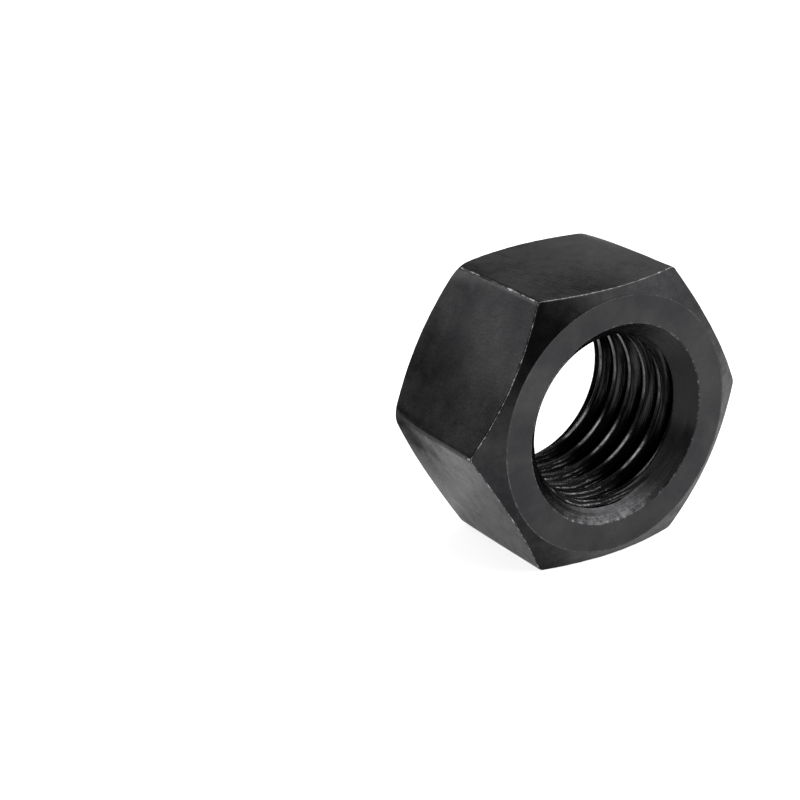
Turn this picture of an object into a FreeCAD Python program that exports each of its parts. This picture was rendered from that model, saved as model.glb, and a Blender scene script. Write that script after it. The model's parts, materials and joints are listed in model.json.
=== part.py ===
import FreeCAD, Part
import math
import os
import Sketcher

# Plain hexagon nut, M20 x 2.5, as a parametric FreeCAD document. Millimetres.
#
# The thread axis runs along Y and the front face looks along -Y. The nut stands on one of its
# side flats: +Z is the normal of the opposite flat, and two corners of the hexagon point along
# +X and -X. The origin is on the thread axis, halfway between the two bearing faces.

NODE = "hex_nut"

# alias, value, meaning
DIMENSIONS = [
    ("across_flats", 29.5, "wrench size 30, as made"),
    ("thickness", 17.4, "between the two bearing faces"),
    ("bearing_diameter", 27.7, "circle where a bearing face meets its outer chamfer"),
    ("chamfer_angle", 30.0, "slope of the outer chamfer from the bearing face, degrees"),
    ("chamfer_spare", 1.0, "how far the chamfer cutter reaches past the hexagon's corners"),
    ("major_diameter", 20.5, "bottom of the thread grooves, clear of a 20 mm bolt"),
    ("minor_diameter", 17.74, "thread crests, at the upper limit of an M20 nut"),
    ("thread_pitch", 2.5, "advance of the thread in one turn"),
    ("flank_angle", 30.0, "half of the angle between two thread flanks, degrees"),
    ("groove_offset", 1.38, "groove right above the axis, forward of mid-thickness"),
    ("lead_in_turns", 4.0, "turns from that groove forward to the thread cutter's start"),
    ("cutter_turns", 10.0, "turns of the thread cutter, past both bearing faces"),
    ("mouth_diameter", 21.6, "countersink where it meets the bearing face"),
    ("countersink_angle", 45.0, "half of the countersink's included angle, degrees"),
    ("cutter_spare", 0.3, "how far a cutter inside the hole reaches into open space"),
]
END_SIDES = {"front": -1, "rear": 1}
SLOPING_SIDE = 1  # of an end cutter's triangle, between its two legs

# lengths worked out from the cells
HALF_THICKNESS = "Dimensions.thickness / 2"
TURNING_RADIUS = "(Dimensions.across_flats / 2 / cos(30deg) + Dimensions.chamfer_spare)"
BEARING_RADIUS = "Dimensions.bearing_diameter / 2"
CHAMFER_RUN = f"({TURNING_RADIUS} - {BEARING_RADIUS}) * tan(Dimensions.chamfer_angle * 1deg)"
OPEN_RADIUS = "(Dimensions.minor_diameter / 2 - Dimensions.cutter_spare)"
MOUTH_RADIUS = "Dimensions.mouth_diameter / 2"
COUNTERSINK_RUN = f"({MOUTH_RADIUS} - {OPEN_RADIUS}) / tan(Dimensions.countersink_angle * 1deg)"
MAJOR_RADIUS = "Dimensions.major_diameter / 2"
ROOT_WIDTH = "Dimensions.thread_pitch / 8"
FLANK_RUN = f"({MAJOR_RADIUS} - {OPEN_RADIUS}) * tan(Dimensions.flank_angle * 1deg)"
CUTTER_START = "(Dimensions.groove_offset + Dimensions.lead_in_turns * Dimensions.thread_pitch)"


def make_dimensions(doc):
    """The driving dimensions: one aliased cell each, between its name and its meaning."""
    sheet = doc.addObject("Spreadsheet::Sheet", "Dimensions")
    for row, (alias, value, meaning) in enumerate(DIMENSIONS, start=1):
        sheet.set(f"A{row}", alias)
        sheet.set(f"B{row}", str(value))
        sheet.setAlias(f"B{row}", alias)
        sheet.set(f"C{row}", meaning)
    doc.recompute()


def origin_feature(body, role):
    """One of the body's own origin planes or axes."""
    return next(feature for feature in body.Origin.OriginFeatures if feature.Role == role)


def new_sketch(body, name, plane_role):
    """An empty sketch on one of the body's own origin planes."""
    sketch = body.newObject("Sketcher::SketchObject", name)
    sketch.AttachmentSupport = [(origin_feature(body, plane_role), "")]
    sketch.MapMode = "FlatFace"
    return sketch


def length_of(body, formula):
    """What a formula of the cells comes to now, in millimetres."""
    value = body.evalExpression(formula)
    return float(getattr(value, "Value", value))


def straight_spline(start, end):
    """A spline of degree 1 from one point to another, so exactly the line between them."""
    return Part.BSplineCurve([start, end], None, None, False, 1, None, False)


def add_polygon(sketch, points, spline_side=None):
    """A closed outline of straight sides. Returns the index of each side.

    One side may be a straight spline. The cone that it turns out is then stored as a surface of
    revolution, which meets the flats of the hexagon in splines. A plain cone meets them in
    hyperbolas, and distances to those can't always be measured.
    """
    first = sketch.GeometryCount
    lines = [first + i for i in range(len(points))]
    corners = [FreeCAD.Vector(x, y, 0) for x, y in points]
    for side, (start, end) in enumerate(zip(corners, corners[1:] + corners[:1])):
        make_side = straight_spline if side == spline_side else Part.LineSegment
        sketch.addGeometry(make_side(start, end), False)
    for line, following in zip(lines, lines[1:] + lines[:1]):
        sketch.addConstraint(Sketcher.Constraint("Coincident", line, 2, following, 1))
    if spline_side is not None:
        sketch.exposeInternalGeometry(lines[spline_side])
    return lines


def drive(sketch, kind, refs, formula):
    """A sketch dimension that follows a formula of the cells."""
    index = sketch.addConstraint(Sketcher.Constraint(kind, *refs, length_of(sketch, formula)))
    sketch.setExpression(f"Constraints[{index}]", formula)


def drive_from_origin(sketch, line, side, across, up):
    """Places a line's first point: `across` from the origin to one side, and `up` above it."""
    ends = (-1, 1, line, 1) if side > 0 else (line, 1, -1, 1)
    drive(sketch, "DistanceX", ends, across)
    drive(sketch, "DistanceY", (-1, 1, line, 1), up)


def hexagon(body):
    """Outline of the bar: six equal sides on a circle, one of them level at the top."""
    sketch = new_sketch(body, "hexagon", "XZ_Plane")
    radius = length_of(body, "Dimensions.across_flats / 2 / cos(30deg)")
    turns = [math.radians(60 * i) for i in range(6)]
    sides = add_polygon(sketch, [(radius * math.cos(a), radius * math.sin(a)) for a in turns])
    circle = sketch.addGeometry(Part.Circle(FreeCAD.Vector(), FreeCAD.Vector(0, 0, 1), radius), True)
    sketch.addConstraint(Sketcher.Constraint("Coincident", circle, 3, -1, 1))
    for side in sides:
        sketch.addConstraint(Sketcher.Constraint("PointOnObject", side, 1, circle))
    for side in sides[1:]:
        sketch.addConstraint(Sketcher.Constraint("Equal", sides[0], side))
    top = sides[1]
    sketch.addConstraint(Sketcher.Constraint("Horizontal", top))
    drive(sketch, "DistanceY", (-1, 1, top, 1), "Dimensions.across_flats / 2")
    return sketch


def bore_circle(body):
    """The plain hole before threading, drawn as four quarter arcs."""
    sketch = new_sketch(body, "bore_circle", "XZ_Plane")
    radius = length_of(body, "Dimensions.minor_diameter / 2")
    circle = Part.Circle(FreeCAD.Vector(), FreeCAD.Vector(0, 0, 1), radius)
    quarter = math.pi / 2
    arcs = [Part.ArcOfCircle(circle, quarter * i, quarter * (i + 1)) for i in range(4)]
    for arc in arcs:
        sketch.addGeometry(arc, False)
    for i in range(4):
        level_or_upright = -1 if i % 2 == 0 else -2
        sketch.addConstraint(Sketcher.Constraint("Coincident", i, 3, -1, 1))
        sketch.addConstraint(Sketcher.Constraint("Coincident", i, 2, (i + 1) % 4, 1))
        sketch.addConstraint(Sketcher.Constraint("PointOnObject", i, 1, level_or_upright))
    drive(sketch, "Radius", (0,), "Dimensions.minor_diameter / 2")
    return sketch


def end_cutters(body, name, square_radius, slope_radius, run, spline_side=None):
    """A right triangle at each bearing face, to be turned about the thread axis.

    The square corner is at `square_radius` on the bearing face. One leg goes along that face to
    `slope_radius`, the other along the axis into the nut for `run`.
    """
    sketch = new_sketch(body, name, "YZ_Plane")
    half = length_of(body, HALF_THICKNESS)
    square, slope, depth = (length_of(body, f) for f in (square_radius, slope_radius, run))
    for side in END_SIDES.values():
        points = [(side * half, square), (side * half, slope), (side * (half - depth), square)]
        face_leg, _, axial_leg = add_polygon(sketch, points, spline_side)
        sketch.addConstraint(Sketcher.Constraint("Vertical", face_leg))
        sketch.addConstraint(Sketcher.Constraint("Horizontal", axial_leg))
        drive_from_origin(sketch, face_leg, side, HALF_THICKNESS, square_radius)
        drive(sketch, "DistanceY", (-1, 1, face_leg, 2), slope_radius)
        inner_to_face = (axial_leg, 1, axial_leg, 2) if side > 0 else (axial_leg, 2, axial_leg, 1)
        drive(sketch, "DistanceX", inner_to_face, run)
    return sketch


def thread_profile(body):
    """One groove of the 60 degree thread, open towards the axis, ahead of the front face."""
    sketch = new_sketch(body, "thread_profile", "YZ_Plane")
    root = length_of(body, ROOT_WIDTH)
    flank = length_of(body, FLANK_RUN)
    inner, outer = length_of(body, OPEN_RADIUS), length_of(body, MAJOR_RADIUS)
    left = -length_of(body, CUTTER_START) - root / 2
    points = [(left, outer), (left + root, outer)]
    points += [(left + root + flank, inner), (left - flank, inner)]
    bottom_of_groove, rear_flank, open_side, front_flank = add_polygon(sketch, points)
    sketch.addConstraint(Sketcher.Constraint("Horizontal", bottom_of_groove))
    sketch.addConstraint(Sketcher.Constraint("Horizontal", open_side))
    sketch.addConstraint(Sketcher.Constraint("Equal", rear_flank, front_flank))
    start = f"{CUTTER_START} + {ROOT_WIDTH} / 2"
    drive_from_origin(sketch, bottom_of_groove, END_SIDES["front"], start, MAJOR_RADIUS)
    drive(sketch, "DistanceX", (bottom_of_groove, 1, bottom_of_groove, 2), ROOT_WIDTH)
    drive(sketch, "DistanceX", (rear_flank, 1, rear_flank, 2), FLANK_RUN)
    drive(sketch, "DistanceY", (-1, 1, open_side, 1), OPEN_RADIUS)
    return sketch


def add_pad(body, sketch):
    """Solid bar as long as the nut is thick, half of it on each side of the sketch."""
    pad = body.newObject("PartDesign::Pad", "bar")
    pad.Profile = sketch
    pad.SideType = "Symmetric"
    pad.setExpression("Length", "Dimensions.thickness")
    return pad


def add_bore(body, sketch):
    """Plain hole through both faces. Its quarter walls stay separate faces."""
    pocket = body.newObject("PartDesign::Pocket", "bore")
    pocket.Profile = sketch
    pocket.SideType = "Symmetric"
    pocket.setExpression("Length", "Dimensions.thickness * 2")
    pocket.Refine = False
    return pocket


def add_turned_cut(body, name, sketch):
    """Cuts away what a sketch sweeps in one turn about the thread axis."""
    groove = body.newObject("PartDesign::Groove", name)
    groove.Profile = sketch
    groove.ReferenceAxis = (origin_feature(body, "Y_Axis"), [""])
    groove.Refine = False
    return groove


def add_thread(body, sketch):
    """Right-hand helical cut, from ahead of the front face to behind the rear face."""
    helix = body.newObject("PartDesign::SubtractiveHelix", "thread")
    helix.Profile = sketch
    helix.ReferenceAxis = (origin_feature(body, "Y_Axis"), [""])
    helix.Mode = "pitch-turns-angle"
    helix.setExpression("Pitch", "Dimensions.thread_pitch")
    helix.setExpression("Turns", "Dimensions.cutter_turns")
    helix.LeftHanded = False
    helix.Refine = False
    return helix


def make_nut(doc):
    """The nut: hexagon bar, outer chamfers, hole, thread, then the two countersinks."""
    body = doc.addObject("PartDesign::Body", NODE)
    body.Label = NODE
    body.Placement = FreeCAD.Placement()
    chamfers = (TURNING_RADIUS, BEARING_RADIUS, CHAMFER_RUN, SLOPING_SIDE)
    countersinks = (OPEN_RADIUS, MOUTH_RADIUS, COUNTERSINK_RUN)
    steps = [
        lambda: add_pad(body, hexagon(body)),
        lambda: add_turned_cut(body, "chamfers", end_cutters(body, "chamfer_cutters", *chamfers)),
        lambda: add_bore(body, bore_circle(body)),
        lambda: add_thread(body, thread_profile(body)),
        lambda: add_turned_cut(
            body, "countersinks", end_cutters(body, "countersink_cutters", *countersinks)
        ),
    ]
    volume = math.inf
    for add_step in steps:
        feature = add_step()
        doc.recompute()
        print(f"{feature.Name:14s} volume {feature.Shape.Volume:9.1f} mm3")
        if not 0 < feature.Shape.Volume < volume:
            raise RuntimeError(f"{feature.Name} removed nothing")
        volume = feature.Shape.Volume
    body.Tip = feature
    doc.recompute()
    return body


def check_document(doc):
    """Stops if any object failed to recompute or its dimensions leave a sketch loose."""
    for item in doc.Objects:
        if {"Invalid", "Error"} & set(item.State):
            raise RuntimeError(f"{item.Name} is {item.State}")
        if item.isDerivedFrom("Sketcher::SketchObject"):
            if item.solve() != 0 or not item.FullyConstrained:
                raise RuntimeError(f"{item.Name} does not solve to one shape")


def export(body):
    """Writes the body's single solid under its own name."""
    shape = body.Shape
    if shape.isNull() or not shape.isValid() or len(shape.Solids) != 1:
        raise RuntimeError(f"{body.Label} is not one valid solid")
    os.makedirs("parts", exist_ok=True)
    shape.exportStep(f"parts/{body.Label}.step")
    print(f"{body.Label}: {shape.Volume:.1f} mm3, {len(shape.Faces)} faces")


document = FreeCAD.newDocument("hexagon_nut")
make_dimensions(document)
nut = make_nut(document)
check_document(document)
export(nut)
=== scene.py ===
import json
import math

import bmesh
import bpy
import numpy as np
from mathutils import Matrix, Vector, noise

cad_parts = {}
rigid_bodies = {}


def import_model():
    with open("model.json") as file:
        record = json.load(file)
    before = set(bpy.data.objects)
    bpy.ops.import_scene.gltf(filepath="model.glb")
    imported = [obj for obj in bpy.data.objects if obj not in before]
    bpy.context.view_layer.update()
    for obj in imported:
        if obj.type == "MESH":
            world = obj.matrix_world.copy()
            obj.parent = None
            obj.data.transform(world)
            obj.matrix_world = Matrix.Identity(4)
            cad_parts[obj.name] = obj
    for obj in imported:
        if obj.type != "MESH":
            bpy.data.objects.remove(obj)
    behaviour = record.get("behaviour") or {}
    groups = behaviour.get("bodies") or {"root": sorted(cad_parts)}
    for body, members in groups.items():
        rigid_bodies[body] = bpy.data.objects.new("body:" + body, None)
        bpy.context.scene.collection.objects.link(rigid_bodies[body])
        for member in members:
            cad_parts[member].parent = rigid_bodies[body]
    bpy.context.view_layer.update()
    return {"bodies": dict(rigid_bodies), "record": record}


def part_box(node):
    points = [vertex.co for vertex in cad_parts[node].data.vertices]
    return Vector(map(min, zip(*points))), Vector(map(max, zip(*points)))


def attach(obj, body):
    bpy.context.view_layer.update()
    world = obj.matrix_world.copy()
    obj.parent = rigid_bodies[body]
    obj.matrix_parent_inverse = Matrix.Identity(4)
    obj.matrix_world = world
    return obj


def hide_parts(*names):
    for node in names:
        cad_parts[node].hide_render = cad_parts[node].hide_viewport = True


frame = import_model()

# The visible nut is one closed mesh in the space of the CAD nut: the same hexagon, chamfers,
# countersinks and thread, but with soft, nicked edges, and grooves that hardly mark the
# countersinks. Radii and lengths are in millimetres. Angles round the thread axis go from +X
# towards +Z, and the front is at -Y.

MM = 0.001
NODE = "hex_nut"
BODY = next(iter(frame["bodies"]))
THREAD = next(m for m in frame["record"]["mounts"] if m["name"] == "thread")

# the nut
LOW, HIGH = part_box(NODE)
FLAT = HIGH.z / MM                      # axis to a side flat
HALF = HIGH.y / MM                      # half the thickness
PITCH = 2.5                             # of the thread, from one turn to the next
ROOT_FLAT = PITCH / 8                   # width of the bottom of a groove
FLANK = math.radians(30)                # lean of its sides
CREST = THREAD["dims"]["r_mm"]          # radius of the thread's crests
MAJOR = 10.25                           # radius of the bottom of its grooves
CREST_FLAT = PITCH - ROOT_FLAT - 2 * (MAJOR - CREST) * math.tan(FLANK)  # width of a crest
FIRST_GROOVE = -1.38                    # y of a groove's middle, right above the axis
MOUTH = 10.8                            # radius of a countersink at the bearing face
COUNTERSINK = math.radians(45)
SHALLOW, GROOVE_START = 0.03, 1.45      # a groove is this shallow until this far below the face
GROOVE_SLOPE = 2.2                      # and from there on it may deepen by this much per mm
BEARING = 13.85                         # radius of a bearing face
CHAMFER = math.radians(30)
SECTOR = math.radians(60)               # from one corner of the hexagon to the next

# how soft its edges are, as radii
FRONT_CORNER = 0.7                      # the front ends of the six long edges
REAR_CORNERS = (1.7, 2.8, 2.7, 2.2, 1.3, 1.7)   # their rear ends, from +X round towards +Z
SWELL = 4                               # the power by which they grow blunter towards the rear
ARC_ROUND = 0.18                        # where a chamfer meets a flat
RING_ROUND = 0.35                       # where a chamfer meets its bearing face
BORE_ROUND = 0.05                       # in the thread and where the countersinks cut it

# how worn its edges are
NICK_DEPTH = 0.10
NICKS = ((0.5, 0.5, 3.0), (0.5, 1.4, 8.0), (0.4, 3.5, 5.0))     # share, number per mm, shift
ARC_WEAR = (0.0, 0.5, 1.0, 1.0, 0.5, 0.0)       # across the edge between a chamfer and a flat
LONG_EDGE_WEAR = math.radians(0.75)             # half the worn line's width on a long edge
LONG_EDGE_FADE = (0.6, 0.5, 0.3, 3.5, 0.6, 0.8)  # how soon each line fades towards the rear
CREST_FADE, CONE_FADE = 0.08, 0.05      # how soon the crests' and countersinks' finish ends

# where the mesh has its rows and columns
COLUMNS_FROM_CORNER = (0, 0.25, 0.5, 0.75, 1.0, 1.3, 1.7, 2.2, 2.8, 3.5)    # in degrees
COLUMNS_TO_MIDDLE = 22                  # from the last of these to the middle of a flat
FACE_ROWS = (MOUTH, MOUTH + 0.08, MOUTH + 0.2, 11.6, 12.4, 13.2, BEARING - 0.3)
RING_STEPS = 3                          # across the rounding of a bearing face's rim
CHAMFER_ROWS = (0.0, 0.25, 0.5, 0.75, 1.0)      # shares of the way down a chamfer
FLAT_ROWS = (0.006, 0.018, 0.04, 0.08, 0.14, 0.21, 0.28, 0.36, 0.43)   # of the way along a flat
SNAP = 0.02                             # bore rows this near to a bearing face end on it
WELD = 2e-4                             # points as near as this are one


def noise_at(points, per_mm, shift):
    """Soft noise of about -1 to 1 at each point."""
    away = Vector((shift, 2 * shift, -shift))
    return np.array([noise.noise(Vector(p) * per_mm + away) for p in points])


def soft_max(a, b, soft):
    """The larger of two values, with a soft change from one to the other."""
    return 0.5 * (a + b + np.sqrt((a - b) ** 2 + soft ** 2))


def soft_min(a, b, soft):
    return -soft_max(-a, -b, soft)


# ------------------------------------------------------------------ the outside
def column_angles():
    """Angles of the mesh's columns, close together at the six corners."""
    near = np.radians(COLUMNS_FROM_CORNER)
    half = np.concatenate([near, np.linspace(near[-1], SECTOR / 2, COLUMNS_TO_MIDDLE)[1:]])
    sector = np.concatenate([half, SECTOR - half[-2:0:-1]])
    return np.concatenate([sector + SECTOR * i for i in range(6)])


def nearest_corner(angles):
    """The corner that each angle is nearest to, counted from the one at +X."""
    return np.round(angles / SECTOR).astype(int) % 6


def angle_from_corner(angles):
    return (angles + SECTOR / 2) % SECTOR - SECTOR / 2


def hexagon_radius(angles, rounding):
    """Axis to the hexagon's side, with its corners rounded."""
    from_corner = angle_from_corner(angles)
    straight = FLAT / np.cos(SECTOR / 2 - np.abs(from_corner))
    inner_flat = FLAT - rounding
    centre = inner_flat / math.cos(SECTOR / 2)
    tangent = SECTOR / 2 - np.arctan(inner_flat * math.tan(SECTOR / 2) / FLAT)
    across = rounding ** 2 - (centre * np.sin(from_corner)) ** 2
    rounded = centre * np.cos(from_corner) + np.sqrt(np.maximum(across, 0))
    return np.where(np.abs(from_corner) < tangent, rounded, straight)


def rounded_corner(corner, before, after, radius, steps):
    """Points along a corner's rounding, from the end of one side to the start of the next."""
    turn = math.acos(float(np.dot(before, after)))
    start = corner - radius * math.tan(turn / 2) * before
    inward = (after - math.cos(turn) * before) / math.sin(turn)
    angles = [turn * i / steps for i in range(steps + 1)]
    return [start + radius * (math.sin(a) * before + (1 - math.cos(a)) * inward) for a in angles]


def outer_half_profile(side):
    """Rows from a countersink's mouth, over the bearing face and chamfer, to a side's start.

    Each is a radius, a depth below the bearing face and how much it is worn, from 0 to 1.
    """
    face_dir, flat_dir = np.array([1.0, 0.0]), np.array([0.0, 1.0])
    cone_dir = np.array([math.cos(CHAMFER), math.sin(CHAMFER)])
    ring = np.array([BEARING, 0.0])
    edge = np.array([side, (side - BEARING) * math.tan(CHAMFER)])
    rows = [(radius, 0.0, 0.0) for radius in FACE_ROWS]
    rounding = rounded_corner(ring, face_dir, cone_dir, RING_ROUND, RING_STEPS)
    rows += [(p[0], p[1], 0.0) for p in rounding]
    arc = rounded_corner(edge, cone_dir, flat_dir, ARC_ROUND, len(ARC_WEAR) - 1)
    first, last = ring + 0.12 * cone_dir, arc[0] - 0.08 * cone_dir
    for share in CHAMFER_ROWS:
        p = first + (last - first) * share
        rows.append((p[0], p[1], 0.0))
    return rows + [(p[0], p[1], worn) for p, worn in zip(arc, ARC_WEAR)]


def long_edge_wear(angles, shares):
    """How worn the six long edges are, at shares of their length from the front."""
    across = np.clip(1 - np.abs(angle_from_corner(angles)) / LONG_EDGE_WEAR, 0, 1)
    fade = np.array(LONG_EDGE_FADE)[nearest_corner(angles)]
    return across * np.clip(1 - fade * shares, 0, 1)


def outer_grid(angles):
    """Radius, y and edge of each row and column of the outside, front mouth to rear mouth."""
    rear_rounding = np.array(REAR_CORNERS)[nearest_corner(angles)]
    sides = [hexagon_radius(angles, rounding) for rounding in (FRONT_CORNER, rear_rounding)]
    front, rear = (np.array([outer_half_profile(s) for s in side]).transpose(1, 0, 2) for side in sides)
    start, end = front[-1, :, 1] - HALF, HALF - rear[-1, :, 1]
    first_shares = np.array(FLAT_ROWS)
    shares = np.concatenate([first_shares, [0.5], 1 - first_shares[::-1]])[:, None]
    flat_y = start + (end - start) * shares
    flat_radius = sides[0] + (sides[1] - sides[0]) * shares ** SWELL
    radius = np.concatenate([front[..., 0], flat_radius, rear[::-1, :, 0]])
    y = np.concatenate([front[..., 1] - HALF, flat_y, HALF - rear[::-1, :, 1]])
    edge = np.concatenate([front[..., 2], long_edge_wear(angles, shares), rear[::-1, :, 2]])
    return radius, y, edge


# ------------------------------------------------------------------ the threaded hole
def thread_radius(along):
    """Radius of the thread this far along the axis from a crest, and how far the next crest is."""
    away = np.abs((along + PITCH / 2) % PITCH - PITCH / 2)
    flank = CREST + (away - CREST_FLAT / 2) / math.tan(FLANK)
    return soft_min(soft_max(flank, CREST, BORE_ROUND), MAJOR, BORE_ROUND), away


def turn_rows():
    """Distances along the axis of one turn's rows from a crest's middle, closest at the bends."""
    crest_end, root_start = CREST_FLAT / 2, (PITCH - ROOT_FLAT) / 2
    half = np.concatenate([
        [0, crest_end - 0.16],
        np.linspace(crest_end - 0.08, crest_end + 0.08, 5),
        np.linspace(crest_end + 0.15, root_start - 0.06, 5),
        [root_start, root_start + 0.07],
    ])
    return np.concatenate([half, [PITCH / 2], PITCH - half[:0:-1]])


def bore_grid(angles):
    """Rows that follow the helix, cut off at the bearing faces and opened by the countersinks.

    Gives each point's radius and y, how far it is on a crest and on a countersink, from 0 to 1,
    and the number of rows in a turn.
    """
    one_turn = turn_rows()
    turns = math.ceil(HALF / PITCH) + 1     # each way, enough to pass both bearing faces
    along = np.concatenate([one_turn + PITCH * k for k in range(-turns, turns + 1)])
    crest_at_top = FIRST_GROOVE + PITCH / 2
    y = crest_at_top + along[:, None] - PITCH * (angles - math.pi / 2) / (2 * math.pi)
    y = np.where(np.abs(y) > HALF - SNAP, np.sign(y) * HALF, y)
    thread, away = thread_radius(along)
    depth = HALF - np.abs(y)
    cone = MOUTH - depth * math.tan(COUNTERSINK)
    deepest = cone + SHALLOW + GROOVE_SLOPE * np.maximum(depth - GROOVE_START, 0)
    radius = soft_max(soft_min(thread[:, None], deepest, BORE_ROUND), cone, BORE_ROUND)
    radius = np.where(np.abs(y) >= HALF, MOUTH, radius)
    crest = np.clip(0.5 - (away - CREST_FLAT / 2) / CREST_FADE, 0, 1)[:, None] * (cone < CREST)
    coned = np.clip(1.8 - (radius - cone) / CONE_FADE, 0, 1)
    return radius, y, crest, coned, len(one_turn)


# ------------------------------------------------------------------ one closed mesh
def grid_points(radius, y, angles):
    """Points in space for a grid with a row for each y and a column for each angle."""
    rows = [radius * np.cos(angles), y + 0 * radius, radius * np.sin(angles)]
    return np.stack(rows, axis=-1).reshape(-1, 3)


def grid_faces(rows, columns, wrap=0):
    """Quads between rows and columns. Going once round leads from a row to the one `wrap` before."""
    here = np.arange(rows * columns).reshape(rows, columns)
    after = np.roll(here, -1, axis=1)
    if wrap:
        last = np.arange(rows) - wrap
        after[:, -1] = np.where(last >= 0, last * columns, -1)
    quads = np.stack([here[:-1], after[:-1], after[1:], here[1:]], axis=-1).reshape(-1, 4)
    return quads[(quads >= 0).all(axis=1)]


def nick(points, edge):
    """Presses small dents into the edges, towards the middle of the nut."""
    worn = edge > 0.2
    marks = sum(share * noise_at(points[worn], per_mm, shift) for share, per_mm, shift in NICKS)
    depth = NICK_DEPTH * np.clip(marks + 0.1, 0, 1) * edge[worn]
    inward = -points[worn] / np.linalg.norm(points[worn], axis=1)[:, None]
    points[worn] += inward * depth[:, None]
    return points


def nut_mesh():
    """The outside and the bore, joined at the countersinks' mouths, with what the material needs."""
    angles = column_angles()
    radius, y, edge = outer_grid(angles)
    outside = nick(grid_points(radius, y, angles), edge.reshape(-1))
    outside_faces = grid_faces(len(radius), len(angles))

    radius, y, crest, coned, rows_in_turn = bore_grid(angles)
    bore = grid_points(radius, y, angles)
    bore_faces = grid_faces(len(radius), len(angles), rows_in_turn)
    cut_off = np.abs(bore[:, 1]) >= HALF
    bore_faces = bore_faces[~cut_off[bore_faces].all(axis=1)][:, ::-1] + len(outside)

    points = np.concatenate([outside, bore])
    zeros = np.zeros(len(outside))
    values = {
        "edge": np.concatenate([edge.reshape(-1), np.zeros(len(bore))]),
        "crest": np.concatenate([zeros, crest.reshape(-1)]),
        "bore": np.concatenate([zeros, np.ones(len(bore))]),
        "coned": np.concatenate([zeros, coned.reshape(-1)]),
    }
    faces = np.concatenate([outside_faces, bore_faces])
    mesh = bpy.data.meshes.new("nut_surface")
    mesh.from_pydata((points * MM).tolist(), [], faces.tolist())
    for name, numbers in values.items():
        mesh.attributes.new(name, "FLOAT", "POINT").data.foreach_set("value", numbers)
    welded = bmesh.new()
    welded.from_mesh(mesh)
    bmesh.ops.remove_doubles(welded, verts=welded.verts, dist=WELD * MM)
    bmesh.ops.dissolve_degenerate(welded, edges=welded.edges, dist=WELD / 2 * MM)
    loose = [v for v in welded.verts if not v.link_faces]
    bmesh.ops.delete(welded, geom=loose, context="VERTS")
    bmesh.ops.recalc_face_normals(welded, faces=welded.faces)
    welded.to_mesh(mesh)
    welded.free()
    mesh.shade_smooth()
    return mesh


# ------------------------------------------------------------------ shader nodes
class Nodes:
    """Short ways to add shader nodes and join them."""

    def __init__(self, tree):
        self.tree = tree
        tree.nodes.clear()

    def add(self, kind, inputs=(), **settings):
        made = self.tree.nodes.new(kind)
        for name, value in settings.items():
            setattr(made, name, value)
        for key, value in dict(inputs).items():
            self.join(value, made.inputs[key])
        return made

    def join(self, value, socket):
        if isinstance(value, bpy.types.NodeSocket):
            self.tree.links.new(value, socket)
        else:
            socket.default_value = value

    def math(self, operation, a, b=0.0, clamp=False):
        made = self.add("ShaderNodeMath", {0: a, 1: b}, operation=operation, use_clamp=clamp)
        return made.outputs[0]

    def plus(self, a, b):
        return self.math("ADD", a, b)

    def minus(self, a, b):
        return self.math("SUBTRACT", a, b)

    def times(self, first, *others):
        for other in others:
            first = self.math("MULTIPLY", first, other)
        return first

    def larger(self, a, b):
        return self.math("MAXIMUM", a, b)

    def apart(self, a, b):
        """How far apart two values are."""
        return self.math("ABSOLUTE", self.minus(a, b))

    def ramp(self, value, low, high, to_low=0.0, to_high=1.0):
        """A smooth change from to_low, where the value is at low, to to_high, where it is at high."""
        made = self.add("ShaderNodeMapRange", {0: value, 1: low, 2: high, 3: to_low, 4: to_high})
        made.interpolation_type = "SMOOTHSTEP"
        return made.outputs[0]

    def mix(self, factor, a, b):
        """A colour between two colours."""
        made = self.add("ShaderNodeMix", {0: factor, 6: a, 7: b}, data_type="RGBA")
        return made.outputs[2]

    def blend(self, factor, a, b):
        """A value between two values."""
        made = self.add("ShaderNodeMix", {0: factor, 2: a, 3: b}, data_type="FLOAT")
        return made.outputs[0]

    def noise(self, place, per_mm, detail, rough, stretch=(1, 1, 1)):
        """Noise of about 0 to 1, `per_mm` features per millimetre, longer where stretch is under 1."""
        moved = self.add("ShaderNodeMapping", {0: place, 3: stretch}).outputs[0]
        made = self.add("ShaderNodeTexNoise", {"Vector": moved, "Scale": per_mm, "Detail": detail})
        made.inputs["Roughness"].default_value = rough
        return made.outputs["Fac"]

    def vector(self, operation, a, b):
        return self.add("ShaderNodeVectorMath", {0: a, 1: b}, operation=operation).outputs

    def tone(self, colour, factor):
        """A colour made lighter or darker."""
        rgb = colour if isinstance(colour, bpy.types.NodeSocket) else colour[:3]
        return self.vector("MULTIPLY", rgb, factor)[0]

    def attribute(self, name):
        return self.add("ShaderNodeAttribute", attribute_name=name).outputs["Fac"]


def grey(value, tint=(1.0, 1.0, 1.0)):
    """A grey, slightly tinted, as red, green, blue and alpha."""
    return (value * tint[0], value * tint[1], value * tint[2], 1.0)


# ------------------------------------------------------------------ blackened steel
COOL, WARM = (0.98, 0.98, 1.06), (1.0, 0.99, 0.98)
WHITE = grey(1.0)
DARK_OXIDE, LIGHT_OXIDE = grey(0.041, COOL), grey(0.057, (1.02, 1.0, 1.01))
TURNED_OXIDE = grey(0.049, (1.0, 0.99, 1.03))
# the first two are oil in the grooves, darkened further as painted shade
GROOVE_OIL_AND_SHADE, OILY_SHADED_OXIDE, RIDGE = grey(0.003), grey(0.014, COOL), grey(0.055, (0.99, 0.99, 1.04))
# the last is a painted highlight line along the crests
DULL_CREST, BARE_CREST, PAINTED_CREST_HIGHLIGHT = grey(0.008), grey(0.048), grey(0.25)
BETWEEN_SCORES, FAINT_SCORE, BRIGHT_SCORE = grey(0.008), grey(0.05), grey(0.20)
DULL_STEEL, BRIGHT_STEEL = grey(0.18, WARM), grey(0.62, WARM)
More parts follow.
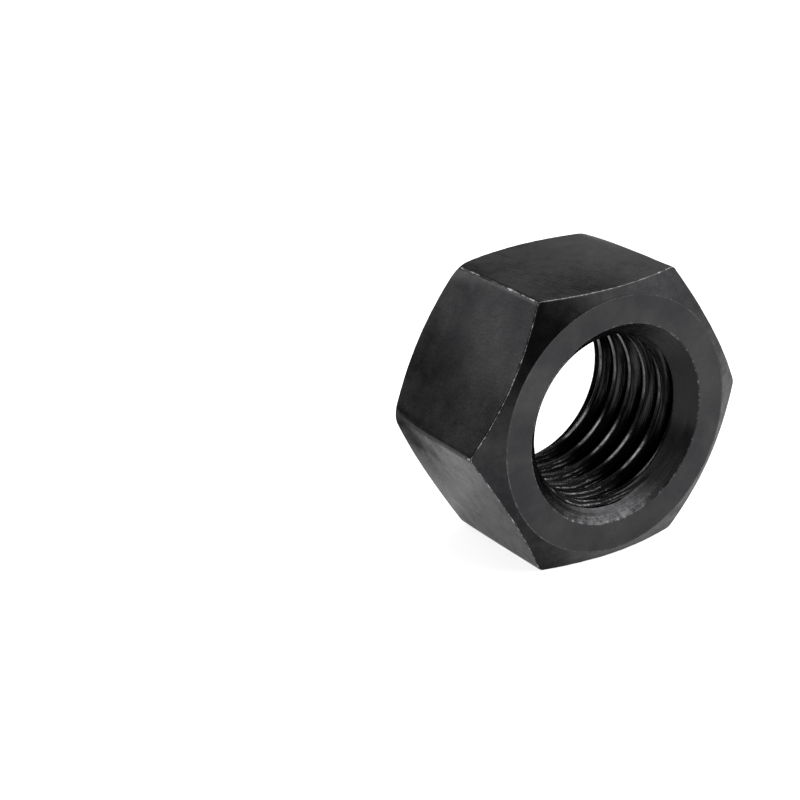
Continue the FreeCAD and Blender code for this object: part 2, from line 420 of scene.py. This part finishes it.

# soft places on the outside painted lighter or darker, as painted light and shade: x, y, z, reach in mm,
# factor
PAINTED_LIGHT_AND_SHADE = [
    ((-14.5, 5.5, 0.5), 11.0, 0.66), ((-13.0, 8.0, 7.0), 6.0, 0.68), ((-13.0, 2.0, 6.0), 8.0, 0.66),
    ((-10.5, -5.0, 11.0), 12.0, 1.50), ((8.0, 4.5, 14.5), 10.0, 1.80), ((-5.0, -7.0, 14.5), 10.0, 0.58),
    ((-8.0, 3.0, 14.7), 6.0, 0.76), ((-14.6, -6.0, 4.0), 7.0, 0.78),
]
# places painted with shade in the oxide's reflection, which dims its sheen at a low angle, and where its
# colour is lighter
REFLECTION_SHADES = [
    ((-16.2, 4.8, -1.8), 5.2, 0.38), ((-14.5, 7.0, -5.0), 8.0, 0.62), ((-16.6, 0.0, -0.4), 2.2, 0.70),
]
CORE = 0.15                             # share of the reach that has the whole factor
STRAY = 14.0                            # how ragged the borders of these places are
DULLING = 0.8                           # share of its sheen that the darkest oxide loses

# fine ripples on the top flat: from one to the next, how they slant and waver, and how strong
RIPPLE_PERIOD, RIPPLE_SLANT, RIPPLE_WAVER, RIPPLE_STRENGTH = 0.62, 0.28, 16.0, 0.14

# stretches of the nut by angle: middle, half width and softness of the ends, in degrees
CONE_MARKED = (-98.0, 38.0, 18.0)       # where the countersinks show the most turned marks
# where the countersinks are painted darker, as painted shade
CONE_PAINTED_SHADE = (-7.0, 50.0, 20.0)
THREAD_RIDGED = (35.0, 60.0, 30.0)
# two stretches where the crests are painted darker, as painted shade
THREAD_PAINTED_SHADE = [(-21.0, 14.0, 5.0), (-74.0, 12.0, 3.0)]
# a stretch where the crests are painted brighter, as painted highlight
THREAD_PAINTED_HIGHLIGHT = (-49.0, 12.0, 1.5)
THREAD_SCORED = (-106.0, 30.0, 10.0)
RING_WORN = (-135.0, 50.0, 25.0)        # where the bearing faces' outer edges are worn most
MOUTH_WORN = (-112.0, 14.0, 12.0)       # and where the countersinks' mouths are

# the bearing faces' tone and how even it is, the chamfers' tone, and the stretches where the chamfers are
# painted darker or lighter, as painted shade and light
FACE_TONE, FACE_EVENNESS = 1.12, 0.6
CHAMFER_TONE = 0.72
CHAMFER_LIGHT_AND_SHADE = [((135.0, 25.0, 20.0), 0.52), ((-140.0, 25.0, 15.0), 0.62), ((-90.0, 20.0, 15.0), 1.2)]

PAINTED_SHADE_DEPTH = 0.85                        # how much the painted shade darkens a crest

# score marks in the thread: from one to the next, and how far they waver
SCORE_GAP, SCORE_WAVER = 0.235, 14.0

# heights of the finest relief, in mm
GRAIN_HEIGHT, PATCH_HEIGHT = 0.006, 0.010
STREAK_HEIGHT, FINE_STREAK_HEIGHT, SCORE_HEIGHT = 0.022, 0.012, 0.02


class Surface(Nodes):
    """Shader nodes on the nut, with its own measures and the textures that its finishes share."""

    def __init__(self, tree):
        super().__init__(tree)
        place = self.add("ShaderNodeTexCoord").outputs
        self.mm = self.vector("MULTIPLY", place["Object"], (1000, 1000, 1000))[0]
        self.x, self.y, self.z = self.add("ShaderNodeSeparateXYZ", {0: self.mm}).outputs
        facing = self.add("ShaderNodeSeparateXYZ", {0: place["Normal"]}).outputs
        self.facing_end, self.facing_up = self.math("ABSOLUTE", facing[1]), facing[2]
        self.radius = self.math("SQRT", self.plus(self.times(self.x, self.x), self.times(self.z, self.z)))
        self.angle = self.times(self.math("ARCTAN2", self.z, self.x), 180 / math.pi)
        self.bore, self.coned = self.attribute("bore"), self.attribute("coned")
        self.crest, self.edge = self.attribute("crest"), self.attribute("edge")
        self.in_thread = self.times(self.bore, self.minus(1.0, self.coned))

        # textures, from the widest to the finest, and two drawn out round the axis
        self.cloud = self.noise(self.mm, 0.13, 3.0, 0.6)
        self.patch = self.noise(self.mm, 0.5, 5.0, 0.65)
        self.blotch = self.noise(self.mm, 0.85, 5.0, 0.7)
        self.speck = self.noise(self.mm, 1.6, 4.0, 0.7)
        self.grain = self.noise(self.mm, 4.0, 3.0, 0.7)
        self.streak = self.noise(self.mm, 1.0, 4.0, 0.65, (0.10, 9.0, 0.10))
        self.fine_streak = self.noise(self.mm, 1.0, 3.0, 0.6, (0.35, 26.0, 0.35))
        self.broken = self.blend(0.5, self.patch, self.speck)

    def stretch(self, middle, half, soft):
        """1 on a stretch of the nut by its angle round the axis, and 0 away from it."""
        return self.ramp(self.apart(self.angle, middle), half + soft, half - soft)

    def near(self, value, places):
        """The value, multiplied near each of these places by its factor, less and less up to its reach."""
        stray = self.times(self.minus(self.blend(0.5, self.patch, self.blotch), 0.5), STRAY)
        for place, reach, factor in places:
            away = self.plus(self.vector("DISTANCE", self.mm, place)["Value"], stray)
            value = self.times(value, self.ramp(away, CORE * reach, reach, factor, 1.0))
        return value


def ripples(n):
    """Tone of the fine ripples on the top flat, which come and go with the oxide's clouds."""
    along = n.plus(n.x, n.times(n.y, RIPPLE_SLANT))
    phase = n.plus(n.times(along, 2 * math.pi / RIPPLE_PERIOD), n.times(n.patch, RIPPLE_WAVER))
    place = n.times(n.ramp(n.facing_up, 0.9, 0.98), n.ramp(n.cloud, 0.40, 0.60))
    return n.plus(1.0, n.times(n.math("SINE", phase), place, RIPPLE_STRENGTH))


def outside(n):
    """Mottled oxide outside the bore, with painted light and shade at listed places: its colour, and how
    bright its sheen at a low angle is, dimmed in places as painted shade in its reflection.
    """
    colour = n.mix(n.ramp(n.cloud, 0.34, 0.66), DARK_OXIDE, LIGHT_OXIDE)
    mottle = n.times(n.ramp(n.blotch, 0.3, 0.7, 1.16, 0.84), n.ramp(n.grain, 0.25, 0.75, 0.88, 1.12))
    # painted light and shade at the listed places
    tone = n.times(n.near(mottle, PAINTED_LIGHT_AND_SHADE), ripples(n))
    face = n.ramp(n.facing_end, 0.93, 0.98)
    tone = n.blend(n.times(face, FACE_EVENNESS), tone, FACE_TONE)
    chamfer = n.minus(n.ramp(n.facing_end, 0.45, 0.75), face)
    chamfer_tone = CHAMFER_TONE
    # painted shade and light on stretches of the chamfers
    for stretch, other_tone in CHAMFER_LIGHT_AND_SHADE:
        chamfer_tone = n.blend(n.stretch(*stretch), chamfer_tone, other_tone)
    tone = n.blend(chamfer, tone, n.times(mottle, chamfer_tone))
    # painted shade in the reflection at the listed places
    reflection_shade = n.near(1.0, REFLECTION_SHADES)
    colour = n.tone(colour, n.times(tone, n.ramp(reflection_shade, 0.3, 1.0, 1.6, 1.0)))
    dull = n.minus(1.0, n.times(tone, reflection_shade))
    sheen = n.math("SUBTRACT", 1.0, n.times(dull, DULLING), clamp=True)
    return colour, sheen


def countersinks(n):
    """Turned oxide, with marks and speckles low in the cones, most of all next to their mouths, and
    painted shade over one side of the cones.
    """
    marked = n.stretch(*CONE_MARKED)
    rim = n.times(marked, n.ramp(n.radius, MOUTH - 0.9, MOUTH - 0.2))
    light_marks = n.ramp(n.streak, 0.3, 0.75, 0.90, 1.08)
    strong_marks = n.ramp(n.streak, 0.35, 0.7, 0.72, 1.35)
    turned = n.blend(marked, light_marks, strong_marks)
    specks = n.blend(marked, 1.0, n.ramp(n.speck, 0.35, 0.65, 0.85, 1.3))
    rim_specks = n.blend(rim, 1.0, n.ramp(n.broken, 0.40, 0.62, 0.75, 1.7))
    # painted shade on one side of the countersinks
    shade = n.blend(n.stretch(*CONE_PAINTED_SHADE), 1.12, 0.54)
    return n.tone(TURNED_OXIDE, n.times(turned, specks, rim_specks, shade))


def grooves(n, turns):
    """Grooves darkened by oil and partly by painted shade, with lighter ridges along them on one side."""
    helical = n.add("ShaderNodeCombineXYZ", {0: n.x, 1: turns, 2: n.z}).outputs[0]
    ridges = n.ramp(n.noise(helical, 1.0, 3.0, 0.6, (0.14, 4.5, 0.14)), 0.47, 0.68)
    # oil and painted shade in the grooves
    colour = n.mix(n.ramp(n.fine_streak, 0.36, 0.68), GROOVE_OIL_AND_SHADE, OILY_SHADED_OXIDE)
    return n.mix(n.times(ridges, n.stretch(*THREAD_RIDGED)), colour, RIDGE)


def crests(n, turns):
    """Crests worn bare in patches and painted brighter on one stretch of each turn, as painted highlight,
    with a broken painted highlight line along their middle and painted shade on two other stretches.
    """
    middle = FIRST_GROOVE + PITCH / 2 + PITCH / 4   # a crest's, brought from above the axis to +X
    from_middle = n.math("PINGPONG", n.minus(turns, middle), PITCH / 2)
    breaks = n.ramp(n.blend(0.5, n.speck, n.fine_streak), 0.40, 0.58, 0.10, 1.0)
    # a painted highlight line along each crest's middle
    highlight_line = n.times(n.ramp(from_middle, 0.22, 0.06), breaks)
    colour = n.mix(n.ramp(n.fine_streak, 0.40, 0.64), DULL_CREST, BARE_CREST)
    colour = n.mix(highlight_line, colour, PAINTED_CREST_HIGHLIGHT)
    # painted highlight on one stretch, and worn bare patches elsewhere
    rubbed_and_highlit = n.larger(n.stretch(*THREAD_PAINTED_HIGHLIGHT), n.ramp(n.patch, 0.35, 0.65, 0.35, 0.70))
    # painted shade over two stretches of the crests
    crest_shade = n.larger(*(n.stretch(*stretch) for stretch in THREAD_PAINTED_SHADE))
    return n.tone(colour, n.times(rubbed_and_highlit, n.minus(1.0, n.times(crest_shade, PAINTED_SHADE_DEPTH))))


def scores(n, turns):
    """Wavering, broken score marks along the thread, as 1 on a mark and 0 between marks."""
    waver = n.times(n.noise(n.mm, 1.0, 2.0, 0.5, (0.22, 1.1, 0.22)), SCORE_WAVER)
    wave = n.math("SINE", n.plus(n.times(turns, 2 * math.pi / SCORE_GAP), waver))
    breaks = n.ramp(n.noise(n.mm, 1.0, 4.0, 0.7, (0.6, 2.6, 0.6)), 0.40, 0.58)
    return n.times(n.ramp(wave, 0.0, 0.7), breaks)


def thread(n):
    """The thread's colour, and its score marks, which are low and on the left."""
    turns = n.plus(n.y, n.times(n.angle, PITCH / 360))
    scored = n.times(n.in_thread, n.stretch(*THREAD_SCORED))
    marks = n.times(scores(n, turns), scored)
    colour = n.mix(n.crest, grooves(n, turns), crests(n, turns))
    colour = n.mix(scored, colour, BETWEEN_SCORES)
    colour = n.mix(marks, colour, n.mix(n.ramp(n.speck, 0.35, 0.65), FAINT_SCORE, BRIGHT_SCORE))
    return colour, marks


def wear(n):
    """Where bare steel shows, from 0 to 1: thin ragged lines along the outside's edges."""
    threshold = n.ramp(n.broken, 0.36, 0.64, 0.92, 0.30)
    along_edges = n.times(
        n.ramp(n.minus(n.edge, threshold), 0.0, 0.22),
        n.ramp(n.speck, 0.35, 0.60, 0.45, 1.0),
    )
    on_ring = n.times(
        n.ramp(n.apart(n.radius, BEARING - 0.05), 0.10, 0.03),
        n.larger(n.ramp(n.y, 0.2 - HALF, 0.1 - HALF), n.ramp(n.y, HALF - 0.2, HALF - 0.1)),
        n.blend(n.stretch(*RING_WORN), 0.6, 1.0),
        n.ramp(n.broken, 0.38, 0.60, 0.07, 0.16),
    )
    on_mouth = n.times(
        n.ramp(n.apart(n.radius, MOUTH), 0.11, 0.02),
        n.ramp(n.broken, 0.46, 0.62, 0.06, 0.50),
        n.blend(n.stretch(*MOUTH_WORN), 0.55, 1.5),
    )
    return n.larger(along_edges, n.larger(on_ring, on_mouth))


def relief(n, marks):
    """The finest relief: grain outside, turned and scored streaks in the bore."""
    outer = n.plus(n.times(n.grain, GRAIN_HEIGHT), n.times(n.patch, PATCH_HEIGHT))
    streaks = n.plus(n.times(n.streak, STREAK_HEIGHT), n.times(n.fine_streak, FINE_STREAK_HEIGHT))
    inner = n.plus(streaks, n.times(marks, SCORE_HEIGHT))
    height = n.blend(n.bore, outer, inner)
    return n.add("ShaderNodeBump", {"Height": height, "Distance": MM, "Strength": 1.0}).outputs[0]


def black_oxide():
    """Blackened steel: satin and mottled outside, oil-dark and scored in the thread, bare at worn edges,
    with painted light and shade outside, in the countersinks and on the thread.
    """
    material = bpy.data.materials.new("black_oxide_steel")
    material.use_nodes = True
    n = Surface(material.node_tree)
    oxide, sheen = outside(n)
    oxide = n.mix(n.coned, oxide, countersinks(n))
    thread_colour, marks = thread(n)
    worn = wear(n)
    steel = n.mix(n.ramp(n.speck, 0.46, 0.66), DULL_STEEL, BRIGHT_STEEL)
    colour = n.mix(worn, n.mix(n.in_thread, oxide, thread_colour), steel)
    rough = n.plus(n.ramp(n.patch, 0.3, 0.7, 0.17, 0.27), n.times(n.cloud, 0.08))
    rough = n.blend(n.in_thread, rough, n.ramp(n.streak, 0.3, 0.8, 0.14, 0.26))
    shader = n.add("ShaderNodeBsdfPrincipled", {
        "Base Color": colour, "Metallic": n.blend(worn, 1.0, 0.2), "Roughness": rough,
        "Specular Tint": n.tone(WHITE, sheen), "Normal": relief(n, marks),
    })
    n.add("ShaderNodeOutputMaterial", {0: shader.outputs[0]})
    return material


# ------------------------------------------------------------------ floor, light and camera
FLOOR_SIZE, FLOOR_GAP = 6.0, 0.01 * MM  # in metres
FLOOR_GLOW, SEEN_FLOOR_GLOW = 0.28, 0.80    # in the nut's reflections, and seen by the camera


def floor():
    """A plain white floor just below the nut, glowing a little so that it is white to its far edge."""
    bpy.ops.mesh.primitive_plane_add(size=FLOOR_SIZE, location=(0, 0, LOW.z - FLOOR_GAP))
    plane = bpy.context.object
    plane.name = "floor"
    material = bpy.data.materials.new("white_floor")
    material.use_nodes = True
    material.cycles.emission_sampling = "NONE"
    n = Nodes(material.node_tree)
    seen = n.add("ShaderNodeLightPath").outputs["Is Camera Ray"]
    glow = n.blend(seen, FLOOR_GLOW, SEEN_FLOOR_GLOW)
    shader = n.add("ShaderNodeBsdfPrincipled", {
        "Base Color": grey(0.8), "Roughness": 0.9, "Emission Color": WHITE, "Emission Strength": glow,
    })
    n.add("ShaderNodeOutputMaterial", {0: shader.outputs[0]})
    plane.data.materials.append(material)


# direction, angles from it in degrees where the light starts to fall off and where it ends, brightness
SOFT_LIGHTS = [
    ((0.35, -0.25, 0.90), 12, 42, 1.9),
    ((0.68, -0.60, 0.42), 8, 34, 1.0),
    ((0.10, 0.20, 0.97), 10, 40, 0.6),
    ((0.93, -0.25, 0.22), 12, 42, 1.1),
    ((-0.62, -0.66, 0.42), 12, 45, 0.17),
    ((0.45, 0.80, 0.35), 15, 50, 0.20),
    ((-0.36, 0.76, 0.52), 9, 25, 1.75),
    ((0.90, 0.40, 0.30), 8, 29, 0.9),
    ((-0.55, -0.55, 0.63), 8, 20, 0.8),
]
DIM = 0.07                              # brightness of the room between them


def studio():
    """A dim room with large soft lights in it. Seen directly, it is plain white."""
    world = bpy.data.worlds.new("studio")
    bpy.context.scene.world = world
    world.use_nodes = True
    n = Nodes(world.node_tree)
    towards = n.add("ShaderNodeTexCoord").outputs["Generated"]
    light = DIM
    for direction, fall_off, end, brightness in SOFT_LIGHTS:
        axis = Vector(direction).normalized()
        dot = n.vector("DOT_PRODUCT", towards, axis)["Value"]
        low, high = math.cos(math.radians(end)), math.cos(math.radians(fall_off))
        light = n.plus(light, n.ramp(dot, low, high, 0.0, brightness))
    seen = n.add("ShaderNodeLightPath").outputs["Is Camera Ray"]
    strength = n.blend(seen, light, 1.0)
    background = n.add("ShaderNodeBackground", {0: WHITE, 1: strength})
    n.add("ShaderNodeOutputWorld", {0: background.outputs[0]})


AZIMUTH, ELEVATION, ROLL = (math.radians(a) for a in (-32.47, 23.03, -1.87))
DISTANCE = 236.25
LEFT_OF_NUT, BELOW_NUT = 17.32, 0.17    # the nut stands right of the middle of the picture
LENS, SENSOR = 101.77, 36.0
NEAREST, FARTHEST = 0.01, 20            # what the camera sees, in metres


def camera():
    """Looks at the nut from its front left and above. The azimuth turns from -Y towards +X."""
    back = Vector((
        math.sin(AZIMUTH) * math.cos(ELEVATION),
        -math.cos(AZIMUTH) * math.cos(ELEVATION),
        math.sin(ELEVATION),
    ))
    level = Vector((math.cos(AZIMUTH), math.sin(AZIMUTH), 0))
    upright = back.cross(level)
    right = level * math.cos(ROLL) + upright * math.sin(ROLL)
    up = back.cross(right)
    data = bpy.data.cameras.new("camera")
    data.lens, data.sensor_width, data.sensor_fit = LENS, SENSOR, "HORIZONTAL"
    data.clip_start, data.clip_end = NEAREST, FARTHEST
    made = bpy.data.objects.new("camera", data)
    bpy.context.scene.collection.objects.link(made)
    place = (LOW + HIGH) / 2 + (back * DISTANCE - right * LEFT_OF_NUT - up * BELOW_NUT) * MM
    made.matrix_world = Matrix.Translation(place) @ Matrix((right, up, back)).transposed().to_4x4()
    bpy.context.scene.camera = made


nut = bpy.data.objects.new("black_hex_nut", nut_mesh())
bpy.context.scene.collection.objects.link(nut)
nut.data.materials.append(black_oxide())
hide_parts(NODE)
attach(nut, BODY)

floor()
studio()
camera()
bpy.context.scene.view_settings.view_transform = "Standard"
